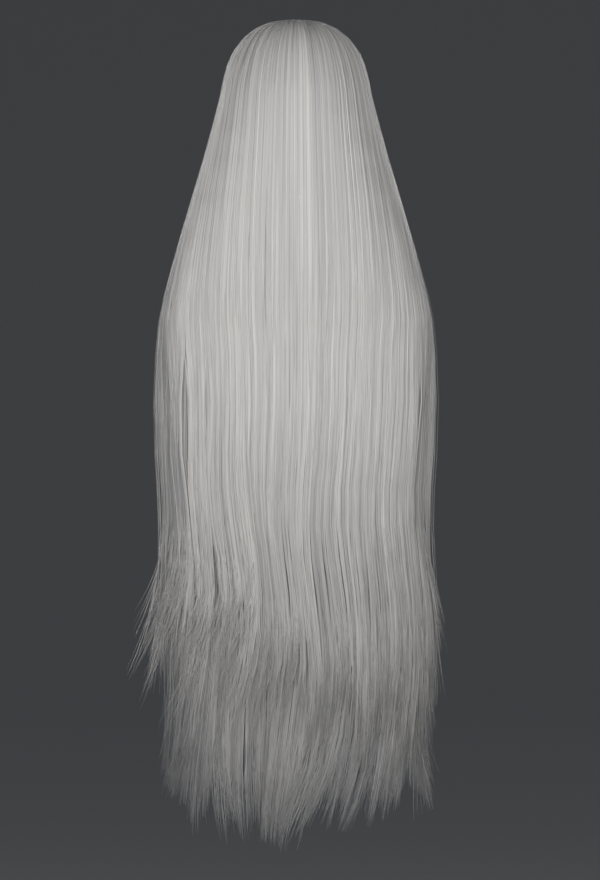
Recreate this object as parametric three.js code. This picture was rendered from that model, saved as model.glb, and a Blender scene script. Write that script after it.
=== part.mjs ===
// A long straight wig in the form it has when worn: a stretch cap and four tiers of hair.
// Millimetres, +Z up. The face looks along -Y, so +Y is the back and +X the wearer's left.
// The origin is where the crown of the head meets the inside of the cap.
import * as THREE from "three";

// Driving dimensions
const HEAD = { x: 76, y: 97, z: 100, power: 2.25 }; // half sizes of the space in the cap
const CAP_WALL = 1.5;
const CAP_CELLS = { around: 40, down: 9 };
const HAIR_TOP = 13.5; // zero of the drops, and the hair's rise off the head where it leaves it
const ROOT_RISE = 15; // its rise at the parting
const CROWN = { fullness: 4, full: 0.35, from: 0.4, to: 0.9 }; // extra rise round the crown, by share of the way
const CAP_CLEARANCE = 1.1; // between the cap and the hair on it, at the corners of the facets
const TIER_CLEARANCE = 1.2; // between the back tier and the nape tier under it

// Angles, in degrees. Azimuth is 0 at the back and 90 over the ears.
const PARTING = { back: -8, front: -60, half: 1.0 }; // along the middle of the head, and half its width
const WHORL_FAN = 60; // hair up to this azimuth starts at the back end of the parting
const EAR = 90; // where the back tier meets the side tiers
const FACE = 128; // front edge of the side tiers
const SEAM = 0.5; // left open on each side of the line over the ears
const LEAVES_HEAD = { back: 75, face: 96 }; // angle from the top where the hair leaves the head
const BENDS_AT = 0.5; // share of the way there where the hair turns down
const NAPE_ROOT = { drop: 146, azimuth: 84, lowest: -150 }; // the nape tier's start on the cap

// The cap's rim, as an angle from the top of the head at each azimuth
const CAP_RIM = [
  { azimuth: 0, polar: 128 },
  { azimuth: 50, polar: 124 },
  { azimuth: 85, polar: 112 },
  { azimuth: 105, polar: 106 },
  { azimuth: 118, polar: 100 },
  { azimuth: 126, polar: 84 },
  { azimuth: 136, polar: 70 },
  { azimuth: 152, polar: 60 },
  { azimuth: 180, polar: 56 },
];

// Outside of the hair behind the shoulders, at each drop below the top of the hair
const BACK_SECTIONS = [
  { drop: 48, halfWidth: 76, back: 93, edge: 0 },
  { drop: 84, halfWidth: 87.5, back: 108, edge: 0 },
  { drop: 140, halfWidth: 102, back: 111.5, edge: 4 },
  { drop: 210, halfWidth: 122.5, back: 110, edge: 14 },
  { drop: 280, halfWidth: 142, back: 113, edge: 30 },
  { drop: 340, halfWidth: 156, back: 121, edge: 44 },
  { drop: 400, halfWidth: 160.5, back: 130, edge: 54 },
  { drop: 470, halfWidth: 160.5, back: 134, edge: 58 },
  { drop: 560, halfWidth: 155, back: 133, edge: 58 },
  { drop: 680, halfWidth: 157, back: 130, edge: 56 },
  { drop: 800, halfWidth: 153, back: 126, edge: 53 },
  { drop: 980, halfWidth: 146, back: 121, edge: 50 },
];

// Outside of the hair in front of a shoulder, from the line over the ear to the face edge
const SIDE_SECTIONS = [
  { drop: 48, earX: 76, earY: 0, faceX: 60, faceY: -64, bow: 4 },
  { drop: 84, earX: 87.5, earY: 0, faceX: 71.5, faceY: -69, bow: 4.7 },
  { drop: 140, earX: 101, earY: -10, faceX: 73.5, faceY: -72, bow: 6 },
  { drop: 210, earX: 120, earY: -26, faceX: 76, faceY: -78, bow: 9 },
  { drop: 280, earX: 137, earY: -43, faceX: 77, faceY: -87, bow: 12 },
  { drop: 340, earX: 147, earY: -56, faceX: 76, faceY: -95, bow: 13 },
  { drop: 400, earX: 150, earY: -63, faceX: 75, faceY: -101, bow: 12 },
  { drop: 470, earX: 150, earY: -66, faceX: 74, faceY: -104, bow: 11 },
  { drop: 560, earX: 148, earY: -67, faceX: 73, faceY: -105, bow: 10 },
  { drop: 800, earX: 144, earY: -65, faceX: 71, faceY: -102, bow: 10 },
  { drop: 980, earX: 140, earY: -63, faceX: 70, faceY: -99, bow: 10 },
];

// Locks of each tier, from +X to -X, or from the ear to the face. width is its share of the tier,
// tip the drop of its end, sway its bend towards +X at the end and lift its bend outwards.
const BACK_LOCKS = [
  { width: 0.9, tip: 690, sway: 13, lift: 7 },
  { width: 1.1, tip: 728, sway: 21, lift: 9 },
  { width: 0.9, tip: 765, sway: 20, lift: 9 },
  { width: 1.1, tip: 750, sway: 16, lift: 8 },
  { width: 1.0, tip: 800, sway: 13, lift: 7 },
  { width: 0.9, tip: 775, sway: 11, lift: 7 },
  { width: 1.2, tip: 845, sway: 9, lift: 6 },
  { width: 0.9, tip: 820, sway: 7, lift: 6 },
  { width: 1.1, tip: 870, sway: 4, lift: 5 },
  { width: 1.0, tip: 840, sway: 2, lift: 5 },
  { width: 1.1, tip: 880, sway: 0, lift: 5 },
  { width: 0.9, tip: 845, sway: -2, lift: 4 },
  { width: 1.1, tip: 872, sway: -4, lift: 4 },
  { width: 0.9, tip: 835, sway: -5, lift: 4 },
  { width: 1.0, tip: 850, sway: -8, lift: 5 },
  { width: 0.9, tip: 760, sway: -12, lift: 6 },
];
const NAPE_LOCKS = [
  { width: 0.9, tip: 886, sway: 7, lift: 0 },
  { width: 1.1, tip: 901, sway: 6, lift: 0 },
  { width: 1.0, tip: 936, sway: 4, lift: 2 },
  { width: 0.8, tip: 924, sway: 1, lift: 2 },
  { width: 1.2, tip: 941, sway: -1, lift: 3 },
  { width: 0.9, tip: 932, sway: -2, lift: 3 },
  { width: 1.1, tip: 949, sway: 2, lift: 4 },
  { width: 0.9, tip: 958, sway: 7, lift: 4 },
  { width: 1.1, tip: 941, sway: 8, lift: 3 },
  { width: 1.0, tip: 930, sway: 5, lift: 3 },
  { width: 1.2, tip: 938, sway: 1, lift: 2 },
  { width: 0.9, tip: 930, sway: -2, lift: 2 },
  { width: 0.9, tip: 900, sway: -5, lift: 0 },
  { width: 1.0, tip: 908, sway: -11, lift: 0 },
];
const SIDE_LOCKS = [
  { width: 0.9, tip: 868, sway: 4, lift: 2 },
  { width: 1.1, tip: 896, sway: 2, lift: 3 },
  { width: 1.0, tip: 880, sway: 0, lift: 3 },
  { width: 1.1, tip: 905, sway: -2, lift: 3 },
  { width: 0.9, tip: 872, sway: -4, lift: 2 },
];

// Across a lock: place from its middle to its edges, and depth below its ridge
const LOCK_PROFILE = [
  { across: -1, depth: 3.2 },
  { across: -0.45, depth: 0 },
  { across: 0.45, depth: 0 },
  { across: 1, depth: 3.2 },
];
const TIP = { width: 0.1, thickness: 0.14 }; // what is left of a lock at its end
const ARC_STEPS = 7; // sections from the parting to where the hair leaves the head
const FREE_STEPS = 5; // sections of a lock that hangs free of its neighbours
const HANG_DROPS = [140, 210, 280, 340, 400, 470, 560];
const BACK_TIER = { thick: 8.5, splits: 600 };
const NAPE_TIER = { thick: 7.3, splits: 800 };
const SIDE_TIER = { thick: 8.5, splits: 740 };

const HAIR = { color: 0xd9d7d4, roughness: 0.42, metalness: 0 };
const NET = { color: 0xb9b6b1, roughness: 0.85, metalness: 0 };

const degrees = THREE.MathUtils.degToRad;
const { lerp, clamp, smoothstep } = THREE.MathUtils;

// The value of a table's column at a place between its rows, on a smooth curve.
function column(rows, place, key, at) {
  const last = rows.length - 1;
  const x = clamp(at, rows[0][place], rows[last][place]);
  let i = 0;
  while (i < last - 1 && x > rows[i + 1][place]) i += 1;
  const slope = (a, b) => (rows[b][key] - rows[a][key]) / (rows[b][place] - rows[a][place]);
  const span = rows[i + 1][place] - rows[i][place];
  const leaving = slope(Math.max(i - 1, 0), i + 1) * span;
  const arriving = slope(i, Math.min(i + 2, last)) * span;
  const t = (x - rows[i][place]) / span;
  const start = (1 + 2 * t) * (1 - t) ** 2 * rows[i][key] + t * (1 - t) ** 2 * leaving;
  return start + t * t * (3 - 2 * t) * rows[i + 1][key] + t * t * (t - 1) * arriving;
}

// A point on the rounded form of the head, moved out by an offset, in a unit direction.
function onHead(direction, offset) {
  const { x, y, z } = direction;
  const size = [x, y, z].reduce((sum, v) => sum + Math.abs(v) ** HEAD.power, 0);
  const reach = size ** (-1 / HEAD.power);
  return new THREE.Vector3(
    (HEAD.x + offset) * reach * x,
    (HEAD.y + offset) * reach * y,
    (HEAD.z + offset) * reach * z - HEAD.z,
  );
}

// A point on the form of the head at an azimuth and a height.
function atHeight(azimuth, z, offset) {
  const [s, c] = [Math.sin(degrees(azimuth)), Math.cos(degrees(azimuth))];
  const rise = Math.abs((z + HEAD.z) / (HEAD.z + offset));
  const level = Math.max(1 - rise ** HEAD.power, 0);
  const reach = (level / (Math.abs(s) ** HEAD.power + Math.abs(c) ** HEAD.power)) ** (1 / HEAD.power);
  return new THREE.Vector3((HEAD.x + offset) * reach * s, (HEAD.y + offset) * reach * c, z);
}

function headDirection(azimuth, polar) {
  const [a, p] = [degrees(azimuth), degrees(polar)];
  return new THREE.Vector3(Math.sin(p) * Math.sin(a), Math.sin(p) * Math.cos(a), Math.cos(p));
}

// The direction of the place on the parting where the hair of an azimuth starts.
function rootDirection(azimuth) {
  const turn = degrees(clamp(azimuth / WHORL_FAN, -1, 1) * 90);
  const along = clamp((Math.abs(azimuth) - WHORL_FAN) / (FACE - WHORL_FAN), 0, 1);
  const lateral = degrees(PARTING.half * Math.sin(turn));
  const sagittal = degrees(lerp(PARTING.back + PARTING.half * Math.cos(turn), PARTING.front, along));
  return new THREE.Vector3(
    Math.sin(lateral),
    Math.cos(lateral) * Math.sin(sagittal),
    Math.cos(lateral) * Math.cos(sagittal),
  );
}

// A point of the hair on the head: share 0 is at the parting, 1 where the hair leaves the head.
// The hair fans out from the parting and turns down. Its grooves are shallower here than below.
function onHeadHair(azimuth, share, depth) {
  const root = rootDirection(azimuth);
  const towardsFace = clamp((Math.abs(azimuth) - EAR) / (FACE - EAR), 0, 1);
  const leaves = lerp(LEAVES_HEAD.back, LEAVES_HEAD.face, towardsFace);
  const rootPolar = THREE.MathUtils.radToDeg(Math.acos(root.z));
  const bend = headDirection(azimuth, lerp(rootPolar, leaves, BENDS_AT));
  const direction = root
    .multiplyScalar((1 - share) ** 2)
    .addScaledVector(bend, 2 * share * (1 - share))
    .addScaledVector(headDirection(azimuth, leaves), share * share)
    .normalize();
  const rounded = smoothstep(share, 0, CROWN.full);
  const extra = CROWN.fullness * rounded * (1 - smoothstep(share, CROWN.from, CROWN.to));
  const rise = lerp(ROOT_RISE, HAIR_TOP, rounded) + extra;
  return onHead(direction, lerp(rise, CAP_WALL + CAP_CLEARANCE, (depth / BACK_TIER.thick) ** 2));
}

// A point of the hair behind the shoulders, and the way out from it.
function onBack(azimuth, drop, depth) {
  const [halfWidth, back, edge] = ["halfWidth", "back", "edge"].map((key) =>
    column(BACK_SECTIONS, "drop", key, drop),
  );
  const angle = degrees(azimuth);
  const [s, c] = [Math.sin(angle), Math.max(Math.cos(angle), 0)];
  const reach = (Math.abs(s) ** HEAD.power + c ** HEAD.power) ** (-1 / HEAD.power);
  const out = new THREE.Vector3(
    (Math.sign(s) * Math.abs(s) ** (HEAD.power - 1)) / halfWidth,
    c ** (HEAD.power - 1) / (back - edge),
    0,
  ).normalize();
  const point = new THREE.Vector3(halfWidth * reach * s, edge + (back - edge) * reach * c, HAIR_TOP - drop);
  return { point: point.addScaledVector(out, -depth), out };
}

// A point of the hair in front of the left shoulder, and the way out from it.
function onSide(azimuth, drop, depth) {
  const [earX, earY, faceX, faceY, bow] = ["earX", "earY", "faceX", "faceY", "bow"].map((key) =>
    column(SIDE_SECTIONS, "drop", key, drop),
  );
  const share = (azimuth - EAR) / (FACE - EAR);
  const chord = new THREE.Vector3(faceX - earX, faceY - earY, 0);
  const chordOut = new THREE.Vector3(-chord.y, chord.x, 0).normalize();
  const along = chord.clone().addScaledVector(chordOut, bow * 4 * (1 - 2 * share));
  const out = new THREE.Vector3(-along.y, along.x, 0).normalize();
  const point = new THREE.Vector3(earX, earY, HAIR_TOP - drop)
    .addScaledVector(chord, share)
    .addScaledVector(chordOut, bow * 4 * share * (1 - share));
  return { point: point.addScaledVector(out, -depth), out };
}

// A point of the hair under the back tier: it starts on the cap and leaves it to hang inside that tier.
function onNape(azimuth, drop, depth) {
  const under = BACK_TIER.thick + TIER_CLEARANCE;
  const hanging = onBack(azimuth, drop, under + depth);
  const offset = CAP_WALL + CAP_CLEARANCE + Math.max(NAPE_TIER.thick / 2 - depth, 0);
  const { z } = hanging.point;
  const seated = atHeight(azimuth, Math.max(z, NAPE_ROOT.lowest), offset).setZ(z);
  const share = smoothstep(drop, NAPE_ROOT.drop, HANG_DROPS[2]);
  return { point: seated.lerp(hanging.point, share), out: hanging.out };
}

function closedMesh(vertices, triangles) {
  const geometry = new THREE.BufferGeometry();
  geometry.setAttribute("position", new THREE.Float32BufferAttribute(vertices, 3));
  geometry.setIndex(triangles);
  geometry.computeVertexNormals();
  return geometry;
}

// One closed sheet of hair, whose locks are joined down to where the tier splits and free below that.
// stations are the sections that all locks share, and place gives a point at a section.
function hairSheet({ locks, azimuths, stations, place, tier, mirrored }) {
  const vertices = [];
  const triangles = [];
  const widths = locks.map((lock) => lock.width);
  const total = widths.reduce((sum, width) => sum + width, 0);
  const span = azimuths.to - azimuths.from;
  const spans = locks.map((lock, i) => {
    const before = widths.slice(0, i).reduce((sum, width) => sum + width, 0);
    const half = (span * lock.width) / total / 2;
    return { half, middle: azimuths.from + (span * before) / total + half };
  });
  const store = (point) => vertices.push(point.x, point.y, point.z) / 3 - 1;
  const quad = (a, b, c, d) => triangles.push(...(mirrored ? [a, c, b, a, d, c] : [a, b, c, a, c, d]));

  const sharedRow = (station) =>
    locks.flatMap((lock, i) =>
      LOCK_PROFILE.slice(i ? 1 : 0).map(({ across, depth }) => {
        const azimuth = spans[i].middle + across * spans[i].half;
        const [outer, inner] = [depth, tier.thick].map((d) => store(place(azimuth, station, d).point));
        return { outer, inner };
      }),
    );

  const freeRow = (lock, i, share) =>
    LOCK_PROFILE.map(({ across, depth }) => {
      const bend = share * share;
      const azimuth = spans[i].middle + across * spans[i].half * lerp(1, TIP.width, share ** 2.2);
      const drop = lerp(tier.splits, lock.tip, share);
      const slim = lerp(1, TIP.thickness, share ** 2);
      const centre = tier.thick / 2;
      const [outer, inner] = [depth, tier.thick].map((d) => {
        const { point, out } = place(azimuth, { drop }, centre + (d - centre) * slim);
        point.addScaledVector(out, lock.lift * bend);
        point.x += lock.sway * bend;
        return store(point);
      });
      return { outer, inner };
    });

  // Walls close the sheet along its edges, which run with the sheet to their left.
  const wall = (a, b) => quad(b.outer, a.outer, a.inner, b.inner);
  const skin = (upper, lower) => {
    for (let j = 0; j + 1 < upper.length; j += 1) {
      quad(upper[j].outer, lower[j].outer, lower[j + 1].outer, upper[j + 1].outer);
      quad(upper[j].inner, upper[j + 1].inner, lower[j + 1].inner, lower[j].inner);
    }
  };
  const sides = (upper, lower) => {
    wall(upper[0], lower[0]);
    wall(lower.at(-1), upper.at(-1));
  };

  const rows = [...stations, { drop: tier.splits }].map(sharedRow);
  rows[0].slice(1).forEach((corner, j) => wall(corner, rows[0][j]));
  rows.slice(1).forEach((row, r) => {
    skin(rows[r], row);
    sides(rows[r], row);
  });
  const cells = LOCK_PROFILE.length - 1;
  locks.forEach((lock, i) => {
    let upper = rows.at(-1).slice(i * cells, (i + 1) * cells + 1);
    for (let step = 1; step <= FREE_STEPS; step += 1) {
      const lower = freeRow(lock, i, step / FREE_STEPS);
      skin(upper, lower);
      sides(upper, lower);
      upper = lower;
    }
    upper.slice(1).forEach((corner, j) => wall(upper[j], corner));
  });

  return closedMesh(vertices, triangles);
}

// Sections of a tier that starts at the parting: shares of the way over the head, then drops.
const fromParting = [
  ...Array.from({ length: ARC_STEPS + 1 }, (_, i) => ({ share: i / ARC_STEPS })),
  ...HANG_DROPS.map((drop) => ({ drop })),
];
// Sections of the tier that starts on the cap at the nape.
const fromNape = [NAPE_ROOT.drop, 159, 172, 190, ...HANG_DROPS.slice(1), 680].map((drop) => ({ drop }));

const placeFromParting = (hang) => (azimuth, station, depth) =>
  station.share === undefined
    ? hang(azimuth, station.drop, depth)
    : { point: onHeadHair(azimuth, station.share, depth) };

function backHair() {
  return hairSheet({
    locks: BACK_LOCKS,
    azimuths: { from: EAR - SEAM, to: -(EAR - SEAM) },
    stations: fromParting,
    place: placeFromParting(onBack),
    tier: BACK_TIER,
    mirrored: false,
  });
}

function napeHair() {
  return hairSheet({
    locks: NAPE_LOCKS,
    azimuths: { from: NAPE_ROOT.azimuth, to: -NAPE_ROOT.azimuth },
    stations: fromNape,
    place: (azimuth, station, depth) => onNape(azimuth, station.drop, depth),
    tier: NAPE_TIER,
    mirrored: false,
  });
}

// The left side tier, or with side -1 the right one, which is its mirror image.
function sideHair(side) {
  const geometry = hairSheet({
    locks: SIDE_LOCKS,
    azimuths: { from: EAR + SEAM, to: FACE },
    stations: fromParting,
    place: placeFromParting(onSide),
    tier: SIDE_TIER,
    mirrored: side > 0,
  });
  return geometry.scale(side, 1, 1);
}

// The cap: rings from the crown to the rim, outside and inside, joined round the rim.
function wigCap() {
  const vertices = [];
  const triangles = [];
  const { around, down } = CAP_CELLS;
  const store = (point) => vertices.push(point.x, point.y, point.z) / 3 - 1;
  const skin = (offset) => {
    const crown = store(onHead(headDirection(0, 0), offset));
    const rings = Array.from({ length: down }, (_, r) =>
      Array.from({ length: around }, (_, j) => {
        const turn = (360 * j) / around;
        const rim = column(CAP_RIM, "azimuth", "polar", Math.min(turn, 360 - turn));
        return store(onHead(headDirection(turn, (rim * (r + 1)) / down), offset));
      }),
    );
    return { crown, rings };
  };
  const [outside, inside] = [skin(CAP_WALL), skin(0)];
  for (let j = 0; j < around; j += 1) {
    const k = (j + 1) % around;
    triangles.push(outside.crown, outside.rings[0][k], outside.rings[0][j]);
    triangles.push(inside.crown, inside.rings[0][j], inside.rings[0][k]);
    for (let r = 0; r + 1 < down; r += 1) {
      const corners = ({ rings }) => [rings[r][j], rings[r][k], rings[r + 1][k], rings[r + 1][j]];
      const [a, b, c, d] = corners(outside);
      const [e, f, g, h] = corners(inside);
      triangles.push(a, b, c, a, c, d, e, g, f, e, h, g);
    }
    const [o, p] = [outside.rings.at(-1), inside.rings.at(-1)];
    triangles.push(o[j], o[k], p[k], o[j], p[k], p[j]);
  }
  return closedMesh(vertices, triangles);
}

const wig = new THREE.Group();
const add = (name, geometry, finish) => {
  const mesh = new THREE.Mesh(geometry, new THREE.MeshStandardMaterial(finish));
  mesh.name = name;
  wig.add(mesh);
};
add("wig_cap", wigCap(), NET);
add("back_hair", backHair(), HAIR);
add("nape_hair", napeHair(), HAIR);
add("side_hair_left", sideHair(1), HAIR);
add("side_hair_right", sideHair(-1), HAIR);

export default wig;
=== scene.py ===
"""A long straight silver-white wig in its worn form: a net cap under four tiers of combed hair.

Sizes are in millimetres until a mesh is made. Meshes are in metres, in the shared frame: +Z is up,
the face looks along -Y, +X is the wearer's left, and the origin is at the crown inside the cap.
"""
import logging
import math
from dataclasses import dataclass, fields, replace
from enum import Enum
from typing import Sequence

import bpy
import numpy as np
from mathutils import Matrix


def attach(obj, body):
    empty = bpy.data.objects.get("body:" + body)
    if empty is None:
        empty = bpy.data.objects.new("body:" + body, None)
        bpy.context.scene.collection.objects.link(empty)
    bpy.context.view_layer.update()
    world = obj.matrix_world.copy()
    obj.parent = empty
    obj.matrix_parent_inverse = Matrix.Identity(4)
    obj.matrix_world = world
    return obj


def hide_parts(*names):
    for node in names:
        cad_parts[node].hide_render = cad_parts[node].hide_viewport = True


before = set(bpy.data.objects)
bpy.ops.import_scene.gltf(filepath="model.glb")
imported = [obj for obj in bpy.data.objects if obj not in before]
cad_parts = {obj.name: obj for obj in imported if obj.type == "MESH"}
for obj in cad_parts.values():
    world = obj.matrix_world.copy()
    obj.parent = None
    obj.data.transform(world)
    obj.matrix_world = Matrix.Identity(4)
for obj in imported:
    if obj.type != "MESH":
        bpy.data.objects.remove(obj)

log = logging.getLogger("wig")
MM = 0.001
FLAT_SIDE_OUT = math.pi / 3
SECTION_RADIUS = 0.5
BODY = "root"
TINY = 1e-9
Colour = tuple[float, float, float, float]
Window = tuple[float, float]
PointsAndWays = tuple[np.ndarray, np.ndarray]


def smooth(low: float, high: float, value: np.ndarray) -> np.ndarray:
    """A soft step from 0 at low to 1 at high.

    Args:
        low: the value where the step starts.
        high: the value where it ends.
        value: where to read it.

    Returns:
        Shares from 0 to 1.
    """
    t = np.clip((value - low) / (high - low), 0.0, 1.0)
    return t * t * (3.0 - 2.0 * t)


def mix(a: np.ndarray, b: np.ndarray, share: np.ndarray) -> np.ndarray:
    """The value at a share of the way from a to b."""
    return a + (b - a) * share


def drift(rng: np.random.Generator, places: int, across: np.ndarray) -> np.ndarray:
    """Values that change smoothly from place to place across a tier.

    Args:
        rng: the source of chance.
        places: how many values to draw.
        across: where to read them, from 0 to 1.

    Returns:
        Values of either sign, mostly under 2.
    """
    return np.interp(across * (places - 1), np.arange(places), rng.normal(0, 1, places))


@dataclass(frozen=True)
class BackSection:
    """Outside of the hair behind the shoulders, at a drop below the top of the hair."""

    drop: float
    half_width: float
    back: float
    edge: float


@dataclass(frozen=True)
class SideSection:
    """Outside of the hair in front of a shoulder, from over the ear to the face edge."""

    drop: float
    ear_x: float
    ear_y: float
    face_x: float
    face_y: float
    bow: float


@dataclass(frozen=True)
class RimPlace:
    """The cap's rim, as an angle from the top of the head at an azimuth."""

    azimuth: float
    polar: float


@dataclass(frozen=True)
class Lock:
    """A lock of hair: its share of the tier, the drop of its tip, how the tip bends, the shares of its
    strands that trail on below the tip and that end higher, and how much lighter it is than the rest: a
    tone below zero is painted shade, a tone above zero painted light."""

    width: float
    tip: float
    sway: float
    lift: float
    trail: float = 0.0
    layered: float = 0.12
    tone: float = 0.0


@dataclass(frozen=True)
class Gap:
    """A narrow opening between two locks: where it is, from which drop to which, half its angle, over what
    lengths it opens and closes, and how many times its own width it moves aside."""

    azimuth: float
    top: float
    bottom: float
    half: float
    opens: float = 45.0
    closes: float = 80.0
    reach: float = 3.0


@dataclass(frozen=True)
class Recess:
    """A strip at the side that lies deeper: the azimuths where it starts and is full, how deep it is, the
    azimuths over which it ends, and the drops over which it sinks and rises again."""

    azimuth: float
    full: float
    depth: float
    ends: Window = (80.0, 90.0)
    sinks: Window = (335.0, 440.0)
    rises: Window = (560.0, 700.0)


@dataclass(frozen=True)
class Flick:
    """A few loose strands that bend away in wisps: where they lie, where they leave, how low and how far
    they go, and how the wisps and the strands in them differ."""

    azimuth: float
    to_azimuth: float
    strands: int
    leaves: float
    tip: float
    to_tip: float
    sway: float
    to_sway: float
    in_wisp: int = 5
    gather: float = 0.7
    leaves_spread: float = 40.0
    tip_spread: float = 9.0
    sway_spread: float = 1.2
    mostly_near: float = 1.8
    lift: float = 8.0
    # Flick strands get a lighter tone than the tier, painted light on wisps that catch it.
    tone: Window = (0.65, 1.0)


BACK_SECTIONS = (
    BackSection(48, 76, 93, 0),
    BackSection(84, 87.5, 108, 0),
    BackSection(140, 102, 111.5, 4),
    BackSection(210, 122.5, 110, 14),
    BackSection(280, 142, 113, 30),
    BackSection(340, 156, 121, 44),
    BackSection(400, 160.5, 130, 54),
    BackSection(470, 160.5, 134, 58),
    BackSection(560, 155, 133, 58),
    BackSection(680, 157, 130, 56),
    BackSection(800, 153, 126, 53),
    BackSection(980, 146, 121, 50),
)
SIDE_SECTIONS = (
    SideSection(48, 76, 0, 60, -64, 4),
    SideSection(84, 87.5, 0, 71.5, -69, 4.7),
    SideSection(140, 101, -10, 73.5, -72, 6),
    SideSection(210, 120, -26, 76, -78, 9),
    SideSection(280, 137, -43, 77, -87, 12),
    SideSection(340, 147, -56, 76, -95, 13),
    SideSection(400, 150, -63, 75, -101, 12),
    SideSection(470, 150, -66, 74, -104, 11),
    SideSection(560, 148, -67, 73, -105, 10),
    SideSection(800, 144, -65, 71, -102, 10),
    SideSection(980, 140, -63, 70, -99, 10),
)
CAP_RIM = (
    RimPlace(0, 128),
    RimPlace(50, 124),
    RimPlace(85, 112),
    RimPlace(105, 106),
    RimPlace(118, 100),
    RimPlace(126, 84),
    RimPlace(136, 70),
    RimPlace(152, 60),
    RimPlace(180, 56),
)
# The darker tones of the outermost locks are painted shade on the deeper strips at both sides.
BACK_LOCKS = (
    Lock(0.9, 720, 18, 6, 0.1, 0.6, -0.45),
    Lock(1.1, 748, 26, 8, 0.1, 0.65, -0.4),
    Lock(0.9, 775, 32, 9, 0.1, 0.65),
    Lock(1.1, 765, 33, 8, 0.1, 0.6),
    Lock(1.0, 802, 28, 7, 0.1, 0.5),
    Lock(0.9, 788, 22, 7, 0.0, 0.4),
    Lock(1.2, 845, 14, 6),
    Lock(0.9, 825, 10, 6),
    Lock(1.1, 870, 7, 5),
    Lock(1.0, 840, 6, 5),
    Lock(1.1, 880, 4, 5),
    Lock(0.9, 845, 2, 4),
    Lock(1.1, 872, -1, 4),
    Lock(0.9, 835, -4, 4),
    Lock(1.0, 850, -7, 5),
    Lock(0.9, 770, -10, 5, 0.4, tone=-0.3),
)
# The darker tones of the first locks are painted shade where this hair hangs under the back tier; the last
# lock's lighter tone is painted light on a lock that faces sideways.
NAPE_LOCKS = (
    Lock(0.9, 888, 10, 4, tone=-0.3),
    Lock(1.1, 896, 12, 3, tone=-0.3),
    Lock(1.0, 910, 10, 2, tone=-0.3),
    Lock(0.8, 920, 4, 2, tone=-0.2),
    Lock(1.2, 938, -6, 3),
    Lock(0.9, 938, -3, 3),
    Lock(1.1, 950, 8, 4),
    Lock(0.9, 966, 22, 4),
    Lock(1.1, 943, 26, 3),
    Lock(1.0, 933, 15, 3),
    Lock(1.2, 926, 4, 2),
    Lock(0.9, 905, -2, 2),
    Lock(0.9, 892, -6, 1),
    Lock(1.0, 910, -18, 4, tone=0.3),
)
SIDE_LOCKS = (
    Lock(0.9, 868, 4, 2),
    Lock(1.1, 896, 2, 3),
    Lock(1.0, 880, 0, 3),
    Lock(1.1, 905, -2, 3),
    Lock(0.9, 872, -4, 2),
)
BACK_FLICKS = (
    Flick(50, 89, 130, 590, 680, 780, 4, 40),
    Flick(24, 54, 90, 640, 740, 830, 6, 36),
    Flick(-66, -89, 40, 560, 680, 790, -3, -14),
)
NAPE_GAPS = (
    Gap(-72, 770, 1000, 2.4),
    Gap(60, 800, 1000, 2.0),
)
BACK_RECESSES = (
    Recess(50, 57, 11),
    Recess(-57, -68, 7),
)
BACK_GAPS = (
    Gap(50, 372, 560, 2.4),
    Gap(38, 420, 520, 1.5),
    Gap(-60, 365, 500, 1.6),
    Gap(38, 590, 850, 1.5),
    Gap(30, 630, 800, 1.0),
    Gap(14, 690, 800, 0.9),
    Gap(-2, 720, 840, 0.9),
    Gap(-15, 660, 750, 0.9),
    Gap(-22, 640, 730, 0.9),
    Gap(-63, 630, 790, 1.6),
)
BACK_LEVELS = (120, 160, 205, 250, 285, 315, 345, 385, 440) + tuple(range(500, 1000, 40))
LOOSE_LEVELS = BACK_LEVELS[:10] + tuple(range(530, 1000, 18))
NAPE_LEVELS = (260, 380, 500, 600, 670, 725, 775) + tuple(range(820, 1000, 40))
SIDE_LEVELS = (180, 240, 290, 330, 370, 420, 500, 590, 680, 750, 810, 860, 910, 960)


class SmoothTable:
    """A short table of sections, read along a smooth curve through each of its columns."""

    def __init__(self, rows: Sequence[object], place: str) -> None:
        """Keeps the rows as columns.

        Args:
            rows: dataclass rows, in rising order of the place.
            place: the name of the column that the others are read against.
        """
        names = [column.name for column in fields(rows[0])]
        self.columns = {name: np.array([getattr(row, name) for row in rows], float) for name in names}
        self.place = self.columns[place]

    def at(self, name: str, place: np.ndarray) -> np.ndarray:
        """Reads a column.

        Args:
            name: the column.
            place: where to read it, held to the table's ends.

        Returns:
            The column's values, in the shape of place.
        """
        p, y = self.place, self.columns[name]
        x = np.clip(place, p[0], p[-1])
        i = np.clip(np.searchsorted(p, x) - 1, 0, len(p) - 2)
        before, after = np.maximum(i - 1, 0), np.minimum(i + 2, len(p) - 1)
        span = p[i + 1] - p[i]
        leaving = (y[i + 1] - y[before]) / (p[i + 1] - p[before]) * span
        arriving = (y[after] - y[i]) / (p[after] - p[i]) * span
        t = (x - p[i]) / span
        start = (1 + 2 * t) * (1 - t) ** 2 * y[i] + t * (1 - t) ** 2 * leaving
        return start + t * t * (3 - 2 * t) * y[i + 1] + t * t * (t - 1) * arriving


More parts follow.
